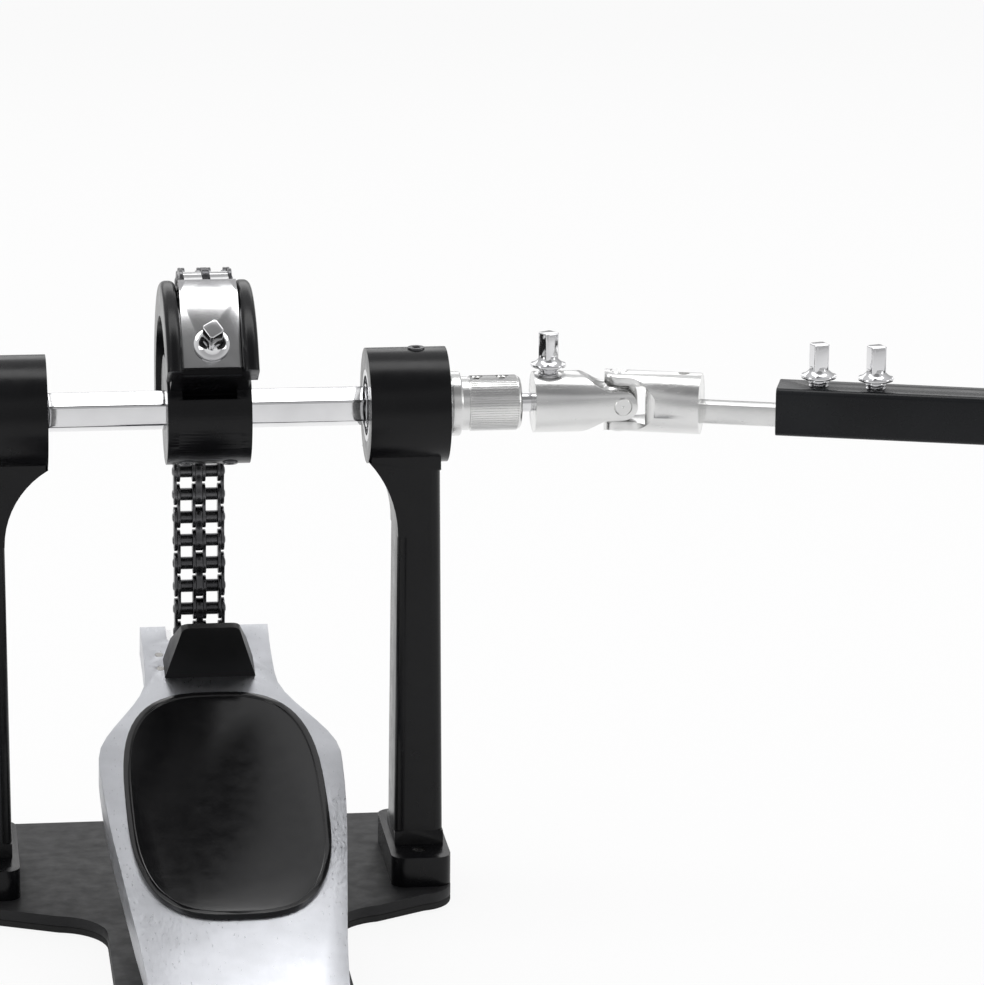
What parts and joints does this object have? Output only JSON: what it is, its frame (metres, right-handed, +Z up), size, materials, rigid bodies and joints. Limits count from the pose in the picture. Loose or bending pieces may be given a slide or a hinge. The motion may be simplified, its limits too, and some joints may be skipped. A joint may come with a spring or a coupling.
{
  "type": "bass drum pedal",
  "caption": "Secondary bass drum pedal: sprung axle with a double-chain cam, a hinged footboard and a telescoping drive shaft with two universal joints.",
  "frame": {"origin": "on the floor, under the middle of the gap between the two bearing bosses, straight below the axle", "axes": "+X along the axle towards the drive shaft, +Y away from the player towards the drum, +Z up"},
  "size_m": [0.6169, 0.346, 0.2498],
  "materials": {
    "black_paint": "satin black paint over a casting",
    "base_paint": "textured black powder coat",
    "rubber": "ribbed matt rubber",
    "zinc_screws": "zinc plate",
    "bearing_steel": "ground steel",
    "chrome": "bright plate",
    "satin_nickel": "satin nickel plate",
    "yoke_steel": "satin steel",
    "chain_steel": "oiled gunmetal",
    "board_aluminium": "brushed lengthwise",
    "pad_gloss": "gloss black",
    "stop_plastic": "satin black moulding",
    "tube_paint": "satin black powder coat",
    "spring_steel": "bright zinc spring wire"
  },
  "bodies": {
    "frame": {"floor_pad": "rubber", "base_plate": "base_paint", "left_post": "black_paint", "right_post": "black_paint", "post_screws": "zinc_screws", "boss_plugs": "zinc_screws", "bearing_outer_rings": "bearing_steel", "bearing_balls": "bearing_steel", "heel_plate": "board_aluminium", "heel_insert": "rubber", "heel_screws": "zinc_screws", "heel_pin": "chrome", "tension_rod": "satin_nickel", "tension_nut": "satin_nickel", "lock_nut": "zinc_screws", "return_spring": "spring_steel"},
    "axle": {"axle": "chrome", "bearing_inner_rings": "bearing_steel", "cam": "black_paint", "hub_set_screws": "zinc_screws", "clamp_plate": "satin_nickel", "clamp_bolt": "chrome", "chain_anchor_links": "chain_steel", "spring_rocker": "black_paint", "rocker_pin": "chrome", "rocker_screw": "zinc_screws", "end_washer": "chrome", "collar": "chrome", "collar_screws": "zinc_screws", "stub_shaft": "chrome", "near_yoke": "yoke_steel", "near_yoke_bolt": "chrome"},
    "chain_1": {"chain_link_1": "chain_steel"},
    "chain_2": {"chain_link_2": "chain_steel"},
    "chain_3": {"chain_link_3": "chain_steel"},
    "chain_4": {"chain_link_4": "chain_steel"},
    "chain_5": {"chain_link_5": "chain_steel"},
    "chain_run": {"chain_run": "chain_steel", "chain_end_bolt": "chrome"},
    "footboard": {"footboard": "board_aluminium", "foot_pad": "pad_gloss", "toe_stop": "stop_plastic", "toe_stop_screws": "zinc_screws", "chain_bracket": "satin_nickel", "bracket_rivets": "zinc_screws"},
    "spring_hanger": {"spring_hanger": "satin_nickel"},
    "near_cross": {"near_cross": "yoke_steel", "near_pins": "yoke_steel"},
    "rod_end": {"rod_yoke": "yoke_steel", "rod_yoke_screw": "zinc_screws", "square_rod": "yoke_steel"},
    "tube": {"square_tube": "tube_paint", "tube_bolts": "chrome", "tube_plug": "yoke_steel", "tube_yoke": "yoke_steel"},
    "far_cross": {"far_cross": "yoke_steel", "far_pins": "yoke_steel"},
    "far_yoke": {"far_yoke": "yoke_steel", "far_yoke_bolt": "chrome"}
  },
  "joints": [
    {"name": "axle_turn", "type": "hinge", "parent": "frame", "child": "axle", "pos_m": [0, 0, 0.195], "axis": [-1, 0, 0], "range_deg": [0, 51.25], "stiffness_Nm_per_rad": 1.2, "springref_deg": -20.05},
    {"name": "footboard_hinge", "type": "hinge", "parent": "frame", "child": "footboard", "pos_m": [0, -0.2, 0.0145], "axis": [-1, 0, 0], "range_deg": [0, 10.3]},
    {"name": "chain_bend_1", "type": "hinge", "parent": "axle", "child": "chain_1", "pos_m": [0, 0.02974, 0.23594], "axis": [-1, 0, 0], "range_deg": [-5.5, 0.1]},
    {"name": "chain_bend_2", "type": "hinge", "parent": "chain_1", "child": "chain_2", "pos_m": [0, 0.03688, 0.22964], "axis": [-1, 0, 0], "range_deg": [-10.9, 0.1]},
    {"name": "chain_bend_3", "type": "hinge", "parent": "chain_2", "child": "chain_3", "pos_m": [0, 0.04272, 0.22212], "axis": [-1, 0, 0], "range_deg": [-10.9, 0.1]},
    {"name": "chain_bend_4", "type": "hinge", "parent": "chain_3", "child": "chain_4", "pos_m": [0, 0.04705, 0.21363], "axis": [-1, 0, 0], "range_deg": [-10.9, 0.1]},
    {"name": "chain_bend_5", "type": "hinge", "parent": "chain_4", "child": "chain_5", "pos_m": [0, 0.0497, 0.20448], "axis": [-1, 0, 0], "range_deg": [-10.9, 0.1]},
    {"name": "chain_bend_6", "type": "hinge", "parent": "chain_5", "child": "chain_run", "pos_m": [0, 0.0506, 0.195], "axis": [-1, 0, 0], "range_deg": [-5.5, 0.1]},
    {"name": "spring_stretch", "type": "slide", "parent": "frame", "child": "spring_hanger", "axis": [0, 0, 1], "range_m": [0, 0.0174], "deforming": ["return_spring"]},
    {"name": "near_cross_tilt", "type": "hinge", "parent": "axle", "child": "near_cross", "pos_m": [0.1615, 0, 0.195], "axis": [0, 1, 0], "range_deg": [-25, 25]},
    {"name": "near_yoke_swing", "type": "hinge", "parent": "near_cross", "child": "rod_end", "pos_m": [0.1615, 0, 0.195], "axis": [0, 0, 1], "range_deg": [-10, 40]},
    {"name": "shaft_slide", "type": "slide", "parent": "rod_end", "child": "tube", "axis": [0.9613, -0.2756, 0], "range_m": [-0.022, 0.045]},
    {"name": "far_cross_swing", "type": "hinge", "parent": "tube", "child": "far_cross", "pos_m": [0.46382, -0.08669, 0.195], "axis": [0, 0, 1], "range_deg": [-25, 25]},
    {"name": "far_yoke_tilt", "type": "hinge", "parent": "far_cross", "child": "far_yoke", "pos_m": [0.46382, -0.08669, 0.195], "axis": [0.2756, 0.9613, 0], "range_deg": [-25, 25]}
  ],
  "couplings": [
    {"joint": "footboard_hinge", "follows": "axle_turn", "ratio": 0.19721},
    {"joint": "chain_bend_1", "follows": "axle_turn", "ratio": -0.10539},
    {"joint": "chain_bend_2", "follows": "axle_turn", "ratio": -0.21077},
    {"joint": "chain_bend_3", "follows": "axle_turn", "ratio": -0.21077},
    {"joint": "chain_bend_4", "follows": "axle_turn", "ratio": -0.21077},
    {"joint": "chain_bend_5", "follows": "axle_turn", "ratio": -0.21077},
    {"joint": "chain_bend_6", "follows": "axle_turn", "ratio": -0.10539},
    {"joint": "spring_stretch", "follows": "axle_turn", "m_per_rad": 0.01934}
  ]
}
